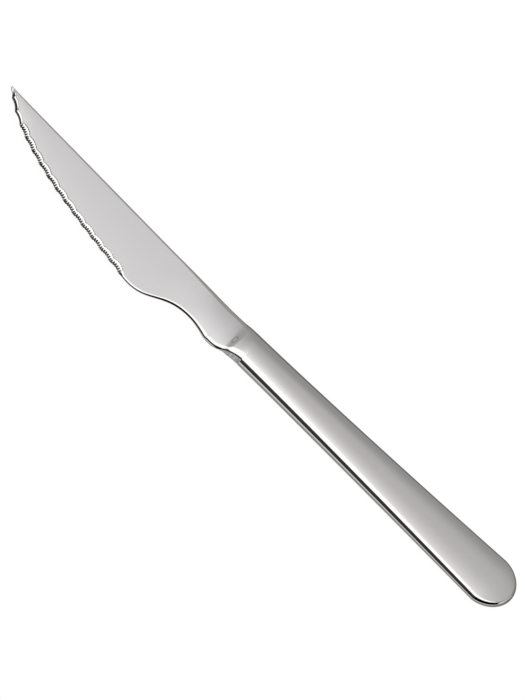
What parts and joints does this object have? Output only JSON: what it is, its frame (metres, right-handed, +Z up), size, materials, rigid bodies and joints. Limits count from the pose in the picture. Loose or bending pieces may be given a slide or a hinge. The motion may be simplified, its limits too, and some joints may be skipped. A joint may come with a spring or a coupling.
{
  "type": "steak knife",
  "caption": "Steel table steak knife with a scalloped, finely toothed edge, a bare curved choil, a swelling bolster and a round-ended hollow handle.",
  "frame": {"origin": "middle of the knife's box, on the table that the handle's land rests on", "axes": "+X from the tip to the butt, +Y from the cutting edge to the spine, +Z up through the knife's thickness"},
  "size_m": [0.225, 0.0268, 0.0062],
  "materials": {
    "blade_steel": "satin ground",
    "handle_steel": "polished",
    "braze": "polished flush",
    "cement": "matt"
  },
  "bodies": {
    "root": {"blade": "blade_steel", "handle_front_shell": "handle_steel", "handle_back_shell": "handle_steel", "shell_seam": "braze", "neck_joint": "braze", "tang_cement": "cement"}
  },
  "joints": []
}
